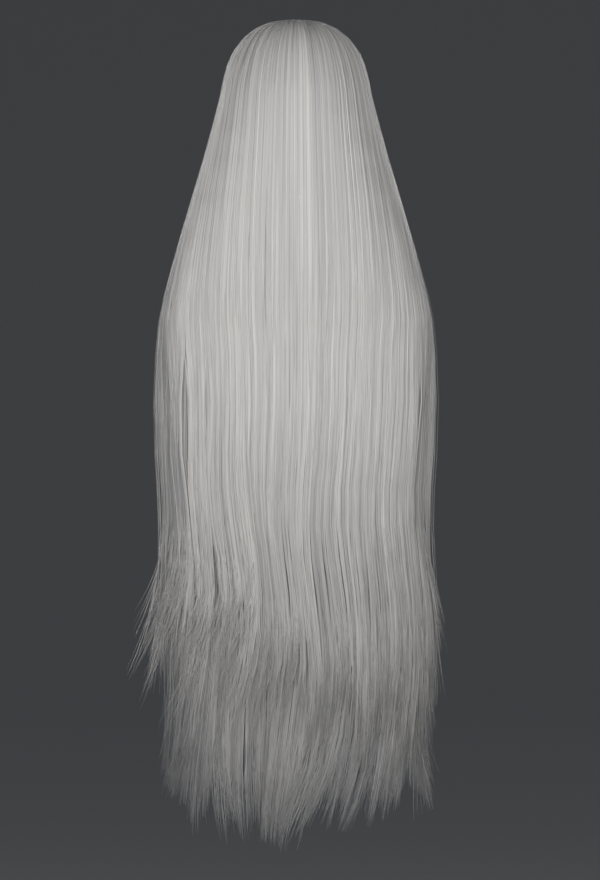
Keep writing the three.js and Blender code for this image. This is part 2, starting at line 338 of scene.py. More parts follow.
@dataclass(frozen=True)
class HairField:
    """Where hair lies on the head and how it hangs from it.

    Azimuths are in degrees, 0 at the back and 90 over the ears. A drop is below the top of the hair,
    and a depth is below the outside of the hair.
    """

    half_x: float = 76.0
    half_y: float = 97.0
    half_z: float = 100.0
    power: float = 2.25
    cap_wall: float = 1.5
    hair_top: float = 13.5
    root_rise: float = 15.0
    full_rise_at: float = 0.35
    crown_fullness: float = 4.0
    crown_falls: Window = (0.4, 0.9)
    on_cap: float = 2.6
    root_on_cap: float = 0.4
    parting_back: float = -8.0
    parting_front: float = -60.0
    parting_half: float = 1.0
    whorl_fan: float = 60.0
    ear: float = 90.0
    face: float = 128.0
    leaves_back: float = 75.0
    leaves_face: float = 96.0
    back_thick: float = 8.5
    under_back: float = 9.7
    nape_thick: float = 7.3
    nape_root: float = 146.0
    nape_free: float = 280.0
    nape_lowest: float = -150.0
    free_from: float = 84.0
    face_free_from: float = 123.0
    spread_by: float = 400.0
    spread_curve: float = 0.85

    def direction(self, azimuth: np.ndarray, polar: np.ndarray) -> np.ndarray:
        """Unit directions from the middle of the head.

        Args:
            azimuth: degrees round from the back.
            polar: degrees down from the top.

        Returns:
            Directions, with x, y and z on the last axis.
        """
        a, p = np.radians(azimuth), np.radians(polar)
        return np.stack([np.sin(p) * np.sin(a), np.sin(p) * np.cos(a), np.cos(p) + 0 * a], axis=-1)

    def on_head(self, direction: np.ndarray, offset: np.ndarray) -> np.ndarray:
        """Points on the rounded form of the head, moved out.

        Args:
            direction: unit directions from the middle of the head.
            offset: how far out of the head's form.

        Returns:
            Points, with x, y and z on the last axis.
        """
        reach = (np.abs(direction) ** self.power).sum(-1, keepdims=True) ** (-1 / self.power)
        size = np.array([self.half_x, self.half_y, self.half_z]) + np.asarray(offset)[..., None]
        return size * reach * direction - np.array([0.0, 0.0, self.half_z])

    def off_head(self, points: np.ndarray) -> np.ndarray:
        """The ways straight out of the head's form at points on or over it."""
        size = np.array([self.half_x, self.half_y, self.half_z])
        place = (points + np.array([0.0, 0.0, self.half_z])) / size
        out = np.sign(place) * np.abs(place) ** (self.power - 1) / size
        return out / np.linalg.norm(out, axis=-1, keepdims=True)

    def at_height(self, azimuth: np.ndarray, z: np.ndarray, offset: np.ndarray) -> np.ndarray:
        """Points on the form of the head at a height.

        Args:
            azimuth: degrees round from the back.
            z: the height.
            offset: how far out of the head's form.

        Returns:
            Points, with x, y and z on the last axis.
        """
        s, c = np.sin(np.radians(azimuth)), np.cos(np.radians(azimuth))
        rise = np.abs((z + self.half_z) / (self.half_z + offset))
        level = np.maximum(1 - rise**self.power, 0)
        reach = (level / (np.abs(s) ** self.power + np.abs(c) ** self.power)) ** (1 / self.power)
        x, y = (self.half_x + offset) * reach * s, (self.half_y + offset) * reach * c
        return np.stack([x, y, z + 0 * reach], axis=-1)

    def root(self, azimuth: np.ndarray) -> np.ndarray:
        """Directions of the places on the parting where the hair of an azimuth starts."""
        turn = np.radians(np.clip(azimuth / self.whorl_fan, -1, 1) * 90)
        along = np.clip((np.abs(azimuth) - self.whorl_fan) / (self.face - self.whorl_fan), 0, 1)
        lateral = np.radians(self.parting_half * np.sin(turn))
        start = self.parting_back + self.parting_half * np.cos(turn)
        sagittal = np.radians(mix(start, self.parting_front, along))
        level = np.cos(lateral)
        return np.stack([np.sin(lateral), level * np.sin(sagittal), level * np.cos(sagittal)], axis=-1)

    def leaves_at(self, azimuth: np.ndarray) -> np.ndarray:
        """Degrees down from the top where the hair of an azimuth leaves the head."""
        towards_face = np.clip((np.abs(azimuth) - self.ear) / (self.face - self.ear), 0, 1)
        return mix(self.leaves_back, self.leaves_face, towards_face)

    def rise(self, share: np.ndarray) -> np.ndarray:
        """How far the outside of the hair stands off the head, from the parting to where it leaves."""
        risen = smooth(0, self.full_rise_at, share)
        even = mix(self.root_rise, self.hair_top, risen)
        return even + self.crown_fullness * risen * (1 - smooth(*self.crown_falls, share))

    def head_hair(self, azimuth: np.ndarray, share: np.ndarray, offset: np.ndarray) -> np.ndarray:
        """Points of hair that lies on the head.

        Args:
            azimuth: degrees round from the back.
            share: 0 at the parting, 1 where the hair leaves the head.
            offset: how far out of the head's form.

        Returns:
            Points, with x, y and z on the last axis.
        """
        root = self.root(azimuth)
        leaves = self.leaves_at(azimuth)
        bend = self.direction(azimuth, mix(np.degrees(np.arccos(root[..., 2])), leaves, 0.5))
        t = share[..., None]
        way = root * (1 - t) ** 2 + bend * 2 * t * (1 - t) + self.direction(azimuth, leaves) * t * t
        return self.on_head(way / np.linalg.norm(way, axis=-1, keepdims=True), offset)

    def behind(self, azimuth: np.ndarray, drop: np.ndarray, depth: np.ndarray) -> PointsAndWays:
        """Points of hair behind the shoulders.

        Args:
            azimuth: degrees round from the back.
            drop: how far below the top of the hair.
            depth: how far below the outside of the hair.

        Returns:
            The points and the level directions out of the hair.
        """
        width, back, edge = (BACK_TABLE.at(name, drop) for name in ("half_width", "back", "edge"))
        a = np.radians(azimuth)
        s, c = np.sin(a), np.maximum(np.cos(a), 0)
        reach = (np.abs(s) ** self.power + c**self.power) ** (-1 / self.power)
        sideways = np.sign(s) * np.abs(s) ** (self.power - 1) / width
        backwards = c ** (self.power - 1) / (back - edge)
        out = np.stack([sideways, backwards, np.zeros_like(reach)], axis=-1)
        out /= np.linalg.norm(out, axis=-1, keepdims=True)
        x, y = width * reach * s, edge + (back - edge) * reach * c
        points = np.stack([x, y, self.hair_top - drop], axis=-1)
        return points - out * depth[..., None], out

    def in_front(self, azimuth: np.ndarray, drop: np.ndarray, depth: np.ndarray) -> PointsAndWays:
        """Points of hair in front of the left shoulder.

        Args:
            azimuth: degrees round from the back.
            drop: how far below the top of the hair.
            depth: how far below the outside of the hair.

        Returns:
            The points and the level directions out of the hair.
        """
        names = ("ear_x", "ear_y", "face_x", "face_y", "bow")
        ear_x, ear_y, face_x, face_y, bow = (SIDE_TABLE.at(name, drop) for name in names)
        share = (azimuth - self.ear) / (self.face - self.ear)
        chord = np.stack([face_x - ear_x, face_y - ear_y], axis=-1)
        chord_out = np.stack([-chord[..., 1], chord[..., 0]], axis=-1)
        chord_out /= np.linalg.norm(chord_out, axis=-1, keepdims=True)
        along = chord + chord_out * (bow * 4 * (1 - 2 * share))[..., None]
        out = np.stack([-along[..., 1], along[..., 0], 0 * share], axis=-1)
        out /= np.linalg.norm(out, axis=-1, keepdims=True)
        level = np.stack([ear_x, ear_y], axis=-1) + chord * share[..., None]
        level += chord_out * (bow * 4 * share * (1 - share))[..., None]
        points = np.concatenate([level, (self.hair_top - drop)[..., None]], axis=-1)
        return points - out * depth[..., None], out

    def under(self, azimuth: np.ndarray, drop: np.ndarray, depth: np.ndarray) -> PointsAndWays:
        """Points of hair that starts on the cap at the nape and hangs inside the back tier.

        Args:
            azimuth: degrees round from the back.
            drop: how far below the top of the hair.
            depth: how far below the outside of this tier.

        Returns:
            The points and the level directions out of the hair.
        """
        hanging, out = self.behind(azimuth, drop, self.under_back + depth)
        offset = self.on_cap + np.maximum(self.nape_thick / 2 - depth, 0)
        seated = self.at_height(azimuth, np.maximum(hanging[..., 2], self.nape_lowest), offset)
        seated[..., 2] = hanging[..., 2]
        return mix(seated, hanging, smooth(self.nape_root, self.nape_free, drop)[..., None]), out


BACK_TABLE = SmoothTable(BACK_SECTIONS, "drop")
SIDE_TABLE = SmoothTable(SIDE_SECTIONS, "drop")
RIM_TABLE = SmoothTable(CAP_RIM, "azimuth")


@dataclass(frozen=True)
class HairFinish:
    """Silver-white straight fibre: pale, a little cooler in its darker strands, with a soft sheen."""

    name: str = "hair_fibre"
    dark: Colour = (0.44, 0.445, 0.46, 1.0)
    light: Colour = (0.80, 0.79, 0.775, 1.0)
    roughness: float = 0.42
    specular: float = 0.3

    def material(self) -> bpy.types.Material:
        """Builds the material.

        Returns:
            A material whose colour follows each strand's tone, which also carries painted shade and painted
            light.
        """
        material = bpy.data.materials.new(self.name)
        material.use_nodes = True
        nodes, links = material.node_tree.nodes, material.node_tree.links
        shader = nodes["Principled BSDF"]
        shader.inputs["Roughness"].default_value = self.roughness
        shader.inputs["Specular IOR Level"].default_value = self.specular
        tone = nodes.new("ShaderNodeAttribute")
        tone.attribute_name = "tone"
        ramp = nodes.new("ShaderNodeValToRGB")
        ramp.color_ramp.elements[0].color = self.dark
        ramp.color_ramp.elements[1].color = self.light
        links.new(tone.outputs["Fac"], ramp.inputs["Fac"])
        links.new(ramp.outputs["Color"], shader.inputs["Base Color"])
        return material


@dataclass(frozen=True)
class NetFinish:
    """Matt stretch net: a pale open mesh of fine threads on a darker ground."""

    name: str = "cap_net"
    ground: Colour = (0.34, 0.33, 0.315, 1.0)
    thread: Colour = (0.66, 0.645, 0.62, 1.0)
    pitch: float = 2.4
    thread_ends: float = 0.10
    ground_starts: float = 0.20
    relief: float = 0.4
    relief_height: float = 0.3
    roughness: float = 0.85

    def material(self) -> bpy.types.Material:
        """Builds the material.

        Returns:
            A material with a small cell pattern and matching bump.
        """
        material = bpy.data.materials.new(self.name)
        material.use_nodes = True
        nodes, links = material.node_tree.nodes, material.node_tree.links
        shader = nodes["Principled BSDF"]
        shader.inputs["Roughness"].default_value = self.roughness
        place = nodes.new("ShaderNodeTexCoord")
        cells = nodes.new("ShaderNodeTexVoronoi")
        cells.feature = "DISTANCE_TO_EDGE"
        cells.inputs["Scale"].default_value = 1 / (self.pitch * MM)
        cells.inputs["Randomness"].default_value = 1.0
        ramp = nodes.new("ShaderNodeValToRGB")
        ramp.color_ramp.elements[0].position = self.thread_ends
        ramp.color_ramp.elements[0].color = self.thread
        ramp.color_ramp.elements[1].position = self.ground_starts
        ramp.color_ramp.elements[1].color = self.ground
        bump = nodes.new("ShaderNodeBump")
        bump.invert = True
        bump.inputs["Strength"].default_value = self.relief
        bump.inputs["Distance"].default_value = self.relief_height * MM
        links.new(place.outputs["Object"], cells.inputs["Vector"])
        links.new(cells.outputs["Distance"], ramp.inputs["Fac"])
        links.new(ramp.outputs["Color"], shader.inputs["Base Color"])
        links.new(cells.outputs["Distance"], bump.inputs["Height"])
        links.new(bump.outputs["Normal"], shader.inputs["Normal"])
        return material


@dataclass
class StrandPaths:
    """The strands' points in millimetres, the ways their flat sides face, what is left to their tips, and
    which of the points are used."""

    points: np.ndarray
    facing: np.ndarray
    to_tip: np.ndarray
    kept: np.ndarray


class StrandSweep:
    """A node tree that sweeps a small section along each strand and gives it the hair's finish."""

    def __init__(self, sides: int = 3, roundness: float = 0.55) -> None:
        """Builds the tree.

        Args:
            sides: the number of sides of a strand's section.
            roundness: how round a strand looks, from 0 for a flat fibre to 1.
        """
        self.roundness = roundness
        self.tree = bpy.data.node_groups.new("strand_sweep", "GeometryNodeTree")
        face = self.tree.interface
        face.new_socket("Strands", in_out="INPUT", socket_type="NodeSocketGeometry")
        self.sides = face.new_socket("Sides", in_out="INPUT", socket_type="NodeSocketInt")
        self.unit = face.new_socket("Unit", in_out="INPUT", socket_type="NodeSocketFloat")
        self.finish = face.new_socket("Finish", in_out="INPUT", socket_type="NodeSocketMaterial")
        face.new_socket("Hair", in_out="OUTPUT", socket_type="NodeSocketGeometry")
        self.side_count = sides
        self._link()

    def _attribute(self, name: str, kind: str) -> bpy.types.NodeSocket:
        """The output of a node that reads one of the strands' attributes."""
        node = self.tree.nodes.new("GeometryNodeInputNamedAttribute")
        node.data_type = kind
        node.inputs["Name"].default_value = name
        return node.outputs["Attribute"]

    def _link(self) -> None:
        """Adds the tree's nodes and joins them."""
        nodes, links = self.tree.nodes, self.tree.links
        start, end = nodes.new("NodeGroupInput"), nodes.new("NodeGroupOutput")
        paths = nodes.new("GeometryNodeMeshToCurve")
        normal = nodes.new("GeometryNodeSetCurveNormal")
        normal.mode = "FREE"
        tilt = nodes.new("GeometryNodeSetCurveTilt")
        tilt.inputs["Tilt"].default_value = FLAT_SIDE_OUT
        scaled = nodes.new("ShaderNodeMath")
        scaled.operation = "MULTIPLY"
        section = nodes.new("GeometryNodeCurvePrimitiveCircle")
        section.inputs["Radius"].default_value = SECTION_RADIUS
        sweep = nodes.new("GeometryNodeCurveToMesh")
        sweep.inputs["Fill Caps"].default_value = True
        shade = nodes.new("GeometryNodeSetShadeSmooth")
        real = nodes.new("GeometryNodeRealizeInstances")
        paint = nodes.new("GeometryNodeSetMaterial")
        links.new(start.outputs["Strands"], paths.inputs["Mesh"])
        links.new(paths.outputs["Curve"], normal.inputs["Curve"])
        links.new(self._attribute("facing", "FLOAT_VECTOR"), normal.inputs["Normal"])
        links.new(normal.outputs["Curve"], tilt.inputs["Curve"])
        links.new(self._attribute("thickness", "FLOAT"), scaled.inputs[0])
        links.new(start.outputs["Unit"], scaled.inputs[1])
        links.new(start.outputs["Sides"], section.inputs["Resolution"])
        links.new(tilt.outputs["Curve"], sweep.inputs["Curve"])
        links.new(section.outputs["Curve"], sweep.inputs["Profile Curve"])
        links.new(scaled.outputs["Value"], sweep.inputs["Scale"])
        links.new(sweep.outputs["Mesh"], shade.inputs["Geometry"])
        links.new(shade.outputs["Geometry"], real.inputs["Geometry"])
        links.new(real.outputs["Geometry"], paint.inputs["Geometry"])
        links.new(start.outputs["Finish"], paint.inputs["Material"])
        links.new(paint.outputs["Geometry"], end.inputs["Hair"])

    def sweep(
        self, name: str, paths: StrandPaths, values: dict[str, np.ndarray], finish: bpy.types.Material
    ) -> bpy.types.Object:
        """Makes one piece of hair from the paths of its strands.

        Args:
            name: the piece's name.
            paths: the strands' paths.
            values: the strands' thickness and tone, by strand and place along it.
            finish: the material.

        Returns:
            The piece as a plain mesh object.
        """
        kept = paths.kept
        number = np.cumsum(kept.ravel()).reshape(kept.shape) - 1
        first = number[:, :-1][kept[:, 1:]]
        guide = bpy.data.meshes.new(name + "_paths")
        guide.vertices.add(kept.sum())
        guide.vertices.foreach_set("co", (paths.points[kept] * MM).astype(np.float32).ravel())
        guide.edges.add(len(first))
        guide.edges.foreach_set("vertices", np.stack([first, first + 1], axis=1).astype(np.int32).ravel())
        facing = guide.attributes.new("facing", "FLOAT_VECTOR", "POINT")
        facing.data.foreach_set("vector", paths.facing[kept].astype(np.float32).ravel())
        for label, table in values.items():
            column = guide.attributes.new(label, "FLOAT", "POINT")
            column.data.foreach_set("value", table[kept].astype(np.float32))
        host = bpy.data.objects.new(name + "_paths", guide)
        bpy.context.scene.collection.objects.link(host)
        modifier = host.modifiers.new("strand_sweep", "NODES")
        modifier.node_group = self.tree
        modifier[self.sides.identifier] = self.side_count
        modifier[self.unit.identifier] = MM
        modifier[self.finish.identifier] = finish
        evaluated = host.evaluated_get(bpy.context.evaluated_depsgraph_get())
        mesh = bpy.data.meshes.new_from_object(evaluated)
        bpy.data.objects.remove(host)
        bpy.data.meshes.remove(guide)
        mesh.name = name
        self._flatten(mesh)
        piece = bpy.data.objects.new(name, mesh)
        bpy.context.scene.collection.objects.link(piece)
        return piece

    def _flatten(self, mesh: bpy.types.Mesh) -> None:
        """Turns the shading of the strands to the ways they face, so that they shade as a combed surface.

        Args:
            mesh: the swept strands, changed in place.
        """
        normal, facing = (np.empty(3 * len(mesh.vertices), np.float32) for _ in range(2))
        mesh.vertex_normals.foreach_get("vector", normal)
        mesh.attributes["facing"].data.foreach_get("vector", facing)
        normal, facing = normal.reshape(-1, 3), facing.reshape(-1, 3)
        outward = facing * (normal * facing).sum(1, keepdims=True)
        turned = mix(outward, normal, self.roundness)
        turned /= np.linalg.norm(turned, axis=1, keepdims=True) + TINY
        mesh.normals_split_custom_set_from_vertices(turned.tolist())
        mesh.attributes.remove(mesh.attributes["facing"])


class Side(Enum):
    """The shoulder that a side tier falls over."""

    LEFT = 1
    RIGHT = -1


@dataclass(frozen=True)
class Combing:
    """How strands of a tier gather, end, wave, stray and differ in tone. A window holds the two drops, or
    distances from the tip, over which something comes in. A curve is a power."""

    clumps_per_lock: int = 7
    clump_jitter: float = 0.35
    gather: float = 0.05
    gathers: Window = (260.0, 560.0)
    gather_low: float = 0.55
    gathers_low: Window = (530.0, 700.0)
    gather_at_tip: float = 0.5
    gather_length: float = 180.0
    gather_curve: float = 1.3

    wisps_per_lock: float = 3.2
    wisp_widths: Window = (0.2, 1.3)
    wisp_width_curve: float = 1.6
    mingle: float = 1.0
    wisp_gather: float = 0.5
    wisp_length: float = 100.0
    wisp_curve: float = 1.5
    wisp_tips: float = 9.0
    wisp_sways: float = 4.0

    brush: float = 45.0
    brush_reach: float = 1.5
    brush_curve: float = 1.2
    uneven: float = 65.0
    uneven_curve: float = 1.8
    layered: float = 190.0
    trail: float = 130.0
    trails: Window = (0.3, 1.3)
    past_locks: float = 4.0

    curl: float = 150.0
    shortest_curl: float = 80.0
    curl_goes_on: float = 1.1
    curls: Window = (0.6, 1.1)
    trail_curls: float = 0.1
    clump_leaves: float = 20.0
    clump_lifts: float = 2.0
    strand_sways: float = 2.0
    strand_lifts: float = 1.5
    lowest_lift: float = -1.0

    wave: float = 10.5
    wave_length: float = 480.0
    wave_crest: float = 725.0
    waves: Window = (430.0, 650.0)
    wave_bulge: float = 0.4
    wave_lag: float = 0.5
    wave_lag_turn: float = 0.05
    wave_lag_drift: float = 0.3
    wave_lag_places: int = 14
    lock_lags: float = 0.15
    swing_drift: float = 0.25
    swing_places: int = 16
    strand_swings: float = 0.06
    swings: Window = (0.4, 1.5)

    stray: float = 0.4
    strays: Window = (120.0, 400.0)
    stray_low: float = 0.9
    strays_low: Window = (540.0, 760.0)
    stray_lengths: Window = (220.0, 600.0)
    flyaways: float = 0.018
    flies: Window = (150.0, 560.0)
    fly_across: float = 11.0
    fly_out: float = 6.0

    tone: float = 0.62
    clump_tones: float = 0.015
    band_tones: float = 0.05
    band_places: int = 240
    strand_tones: float = 0.14
    # Painted shade: deeper strands get a darker tone, standing in for the shadow of the strands over them.
    shaded: float = 0.3
    # Painted glints: strands get lighter and darker towards their tips, as loose strands catch the light
    # differently.
    strand_glints: float = 0.24
    clump_glints: float = 0.12
    glints: Window = (130.0, 400.0)
    sheen: float = 0.12
    sheen_places: int = 420
    sheen_length: float = 140.0

    fine: float = 0.68
    coarse: float = 0.95
    fly_thickness: float = 0.5
    flick_thickness: float = 0.85
    root_thickness: float = 0.45
    root_steps: int = 3
    tip_thickness: float = 0.22
    taper: float = 85.0
    flick_taper: float = 50.0


@dataclass(frozen=True)
class Layer:
    """Strands that lie between two depths of a tier: their share of it, how finely they are drawn, in how
    many pieces, and how much they crowd towards the outside."""

    name: str
    share: float
    top: float
    bottom: float
    lead_steps: int
    levels: tuple[int, ...]
    pieces: int = 1
    crowding: float = 1.0


@dataclass
class StrandPlan:
    """What each strand of a tier is given before its path is worked out."""

    layer: np.ndarray
    azimuth: np.ndarray
    depth: np.ndarray
    start: np.ndarray
    tip: np.ndarray
    sway: np.ndarray
    lift: np.ndarray
    clump_azimuth: np.ndarray
    clump_depth: np.ndarray
    wisp_azimuth: np.ndarray
    wisp_tip: np.ndarray
    phase: np.ndarray
    swing: np.ndarray
    stray_phase: np.ndarray
    stray_length: np.ndarray
    flies: np.ndarray
    leaves: np.ndarray
    flicks: np.ndarray
    tone: np.ndarray
    glint: np.ndarray
    sheen: np.ndarray

    def take(self, chosen: np.ndarray) -> "StrandPlan":
        """The plan of some of the strands."""
        return StrandPlan(**{f.name: getattr(self, f.name)[chosen] for f in fields(self)})


@dataclass
class HairTier:
    """A tier of hair that stands for one solid and is made of many strands."""

    hair: HairField
    node: str
    locks: tuple[Lock, ...]
    first: float
    last: float
    thick: float
    splits: float
    strands: int
    layers: tuple[Layer, ...]
    seed: int
    combing: Combing
    fan: float = 1.0
    flatness: float = 1.0
    gaps: tuple[Gap, ...] = ()
    recesses: tuple[Recess, ...] = ()
    flicks: tuple[Flick, ...] = ()
    from_parting: Window = (0.75, 0.2)
    parting_rows: Window = (0.0, 0.015)
    hidden_rows: Window = (0.08, 0.75)
    lead_curve: float = 1.3
    lead_step: float = 0.008
    root_lifts: Window = (-0.02, 0.10)
    first_step: float = 15.0
    last_step: float = 14.0
    flattens: Window = (120.0, 300.0)

    def of_lock(self, name: str, lock: np.ndarray) -> np.ndarray:
        """A column of the lock table, read for each strand's lock."""
        return np.array([getattr(row, name) for row in self.locks], float)[lock]

    def plan(self) -> StrandPlan:
        """Deals the strands out over the tier's layers, locks, clumps and wisps.

        Returns:
            The plan of all strands, in order across the tier.
        """
        rng = np.random.default_rng(self.seed)
        comb, count = self.combing, self.strands
        across = (np.arange(count) + rng.random(count)) / count
        azimuth = mix(self.first, self.last, across)
        layer = rng.choice(len(self.layers), count, p=[x.share for x in self.layers])
        top, bottom, crowding = np.array([(x.top, x.bottom, x.crowding) for x in self.layers])[layer].T
        depth = mix(top, bottom, rng.random(count) ** crowding) * self.thick
        widths = np.array([x.width for x in self.locks])
        edges = np.concatenate([[0.0], np.cumsum(widths) / widths.sum()])
        lock = np.clip(np.searchsorted(edges, across, side="right") - 1, 0, len(widths) - 1)
        clump_count = len(widths) * comb.clumps_per_lock
        jitter = rng.uniform(-comb.clump_jitter, comb.clump_jitter, clump_count)
        marks = (np.arange(clump_count) + 0.5 + jitter) / clump_count
        clump = np.abs(across[:, None] - marks).argmin(axis=1)
        wisp_count = int(len(widths) * comb.wisps_per_lock)
        wisp_edges = np.cumsum(rng.uniform(*comb.wisp_widths, wisp_count) ** comb.wisp_width_curve)
        wisp_edges = np.concatenate([[0.0], wisp_edges / wisp_edges[-1]])
        joins = across + rng.normal(0, comb.mingle / wisp_count, count)
        wisp = np.clip(np.searchsorted(wisp_edges, joins, side="right") - 1, 0, wisp_count - 1)
        middles = (wisp_edges[1:] + wisp_edges[:-1]) / 2
        beside = np.abs(across - middles[wisp]) / (np.diff(wisp_edges)[wisp] / 2)
        lead_lock = np.clip(np.searchsorted(edges, middles, side="right") - 1, 0, len(widths) - 1)
        wisp_tip = (self.of_lock("tip", lead_lock) + rng.normal(0, comb.wisp_tips, wisp_count))[wisp]
        wisp_sway = (self.of_lock("sway", lead_lock) + rng.normal(0, comb.wisp_sways, wisp_count))[wisp]
        short = comb.brush * np.minimum(beside, comb.brush_reach) ** comb.brush_curve
        short += comb.uneven * rng.random(count) ** comb.uneven_curve
        ends_high = rng.random(count) < self.of_lock("layered", lock)
        short += np.where(ends_high, rng.uniform(0, comb.layered, count), 0)
        trails = rng.random(count) < self.of_lock("trail", lock)
        tip = wisp_tip - short + np.where(trails, comb.trail * rng.uniform(*comb.trails, count), 0)
        bent = np.where(trails, comb.trail_curls, rng.uniform(*comb.curls, count)[clump])
        clump_own = rng.normal(0, 1, clump_count)[clump]
        lift = self.of_lock("lift", lock) + comb.clump_lifts * clump_own
        # A lock's tone is painted shade where below zero and painted light where above.
        tone = comb.tone + self.of_lock("tone", lock) + rng.normal(0, comb.clump_tones, clump_count)[clump]
        bands = comb.band_tones * drift(rng, comb.band_places, across)
        # The last term is painted shade on deeper strands.
        tone += bands + rng.normal(0, comb.strand_tones, count) - comb.shaded * depth / self.thick
        plan = StrandPlan(
            layer=layer,
            azimuth=azimuth,
            depth=depth,
            start=self.starts(rng, depth),
            tip=np.minimum(tip, self.longest() + comb.past_locks),
            sway=wisp_sway * bent + rng.normal(0, comb.strand_sways, count),
            lift=np.maximum(lift * bent + rng.normal(0, comb.strand_lifts, count), comb.lowest_lift),
            clump_azimuth=mix(self.first, self.last, marks)[clump],
            clump_depth=rng.uniform(0.0, 1.0, clump_count)[clump] * self.thick,
            wisp_azimuth=mix(self.first, self.last, middles)[wisp],
            wisp_tip=wisp_tip,
            phase=self.lags(rng, azimuth, across, lock),
            swing=self.swings(rng, across),
            stray_phase=rng.uniform(0, 2 * math.pi, count),
            stray_length=rng.uniform(*comb.stray_lengths, count),
            flies=np.where(rng.random(count) < comb.flyaways, rng.uniform(-1, 1, count), 0.0),
            leaves=np.maximum(wisp_tip - comb.curl, self.splits) + comb.clump_leaves * clump_own,
            flicks=np.zeros(count, bool),
            tone=np.clip(tone, 0, 1),
            glint=self.glints(rng, clump, clump_count),
            sheen=self.sheen(across),
        )
        self.flick(plan, rng)
        return plan

    def longest(self) -> float:
        """The drop of the longest lock's tip."""
        return max(lock.tip for lock in self.locks)

    def lags(
        self, rng: np.random.Generator, azimuth: np.ndarray, across: np.ndarray, lock: np.ndarray
    ) -> np.ndarray:
        """How far each strand's wave lags behind the tier's own.

        Args:
            rng: the tier's source of chance.
            azimuth: the strands' azimuths.
            across: their places across the tier, from 0 to 1.
            lock: the locks that they belong to.

        Returns:
            Radians by strand.
        """
        comb = self.combing
        even = comb.wave_lag * np.sin(azimuth * comb.wave_lag_turn)
        drifting = comb.wave_lag_drift * drift(rng, comb.wave_lag_places, across)
        return even + drifting + rng.normal(0, comb.lock_lags, len(self.locks))[lock]

    def swings(self, rng: np.random.Generator, across: np.ndarray) -> np.ndarray:
        """How widely each strand waves, as a share of the tier's own wave.

        Args:
            rng: the tier's source of chance.
            across: the strands' places across the tier, from 0 to 1.

        Returns:
            Shares by strand.
        """
        comb = self.combing
        drifting = comb.swing_drift * drift(rng, comb.swing_places, across)
        return np.clip(1 + drifting + rng.normal(0, comb.strand_swings, len(across)), *comb.swings)

    def glints(self, rng: np.random.Generator, clump: np.ndarray, clump_count: int) -> np.ndarray:
        """How much lighter or darker each strand gets towards its tip, as painted glints and painted shade.

        Args:
            rng: the tier's source of chance.
            clump: the clumps that the strands belong to.
            clump_count: how many clumps there are.

        Returns:
            Values of either sign by strand.
        """
        own = rng.normal(0, self.combing.strand_glints, len(clump))
        return own + rng.normal(0, self.combing.clump_glints, clump_count)[clump]

    def sheen(self, across: np.ndarray) -> np.ndarray:
        """Fine light and dark lines that come and go down the hair.

        Args:
            across: the strands' places across the tier, from 0 to 1.

        Returns:
            Values of either sign by strand and by stretch of its length.
        """
        comb = self.combing
        rng = np.random.default_rng([self.seed, 1])
        stretches = int(self.longest() / comb.sheen_length) + 2
        return np.stack([drift(rng, comb.sheen_places, across) for _ in range(stretches)], axis=1)

    def flick(self, plan: StrandPlan, rng: np.random.Generator) -> None:
        """Gives some outer strands the bend of the tier's flicks.

        Args:
            plan: the strands, changed in place.
            rng: the tier's source of chance.
        """
        for flick in self.flicks:
            low, high = sorted((flick.azimuth, flick.to_azimuth))
            inside = np.flatnonzero((plan.azimuth > low) & (plan.azimuth < high) & (plan.layer == 0))
            chosen = np.sort(rng.choice(inside, flick.strands, replace=False))
            wisp = np.arange(flick.strands) // flick.in_wisp
            count = wisp[-1] + 1
            middle = np.bincount(wisp, plan.azimuth[chosen]) / np.bincount(wisp)
            plan.azimuth[chosen] = mix(plan.azimuth[chosen], middle[wisp], flick.gather)
            plan.clump_azimuth[chosen] = middle[wisp]
            plan.tip[chosen] = mix(flick.tip, flick.to_tip, rng.random(count))[wisp]
            plan.tip[chosen] += rng.normal(0, flick.tip_spread, flick.strands)
            spread = flick.leaves_spread
            plan.leaves[chosen] = flick.leaves + rng.uniform(-spread, spread, count)[wisp]
            far = rng.random(count) ** flick.mostly_near
            plan.sway[chosen] = mix(flick.sway, flick.to_sway, far)[wisp]
            plan.sway[chosen] += rng.normal(0, flick.sway_spread, flick.strands)
            plan.lift[chosen] = rng.uniform(0, flick.lift, count)[wisp]
            plan.layer[chosen] = len(self.layers) - 1
            plan.flicks[chosen] = True
            # Painted light: flick strands are given a lighter tone.
            plan.tone[chosen] = rng.uniform(*flick.tone, flick.strands)

    def starts(self, rng: np.random.Generator, depth: np.ndarray) -> np.ndarray:
        """Where strands start, as shares of the way from the parting to where hair leaves the head.

        Args:
            rng: the tier's source of chance.
            depth: the strands' depths in the tier.

        Returns:
            The shares. Deeper strands tend to start lower, on rows hidden under the others.
        """
        count = len(depth)
        at_parting = rng.random(count) < mix(*self.from_parting, depth / self.thick)
        return np.where(
            at_parting, rng.uniform(*self.parting_rows, count), rng.uniform(*self.hidden_rows, count)
        )

    def lead(self, plan: StrandPlan, steps: int) -> np.ndarray:
        """The part of the strands that lies on the head.

        Args:
            plan: the strands.
            steps: how many points to give it, closest together at the parting.

        Returns:
            Points by strand, place along it and axis, without the last one on the head.
        """
        places = np.arange(steps)
        start = plan.start[:, None]
        share = np.maximum((places / steps) ** self.lead_curve, start + self.lead_step * places)
        lying = mix(self.hair.rise(share), self.hair.on_cap, plan.depth[:, None] / self.thick)
        free = smooth(*self.root_lifts, share - start)
        offset = mix(self.hair.cap_wall + self.hair.root_on_cap, lying, free)
        azimuth = np.broadcast_to(self.on_head(plan.azimuth)[:, None], share.shape)
        return self.hair.head_hair(azimuth, share, offset)

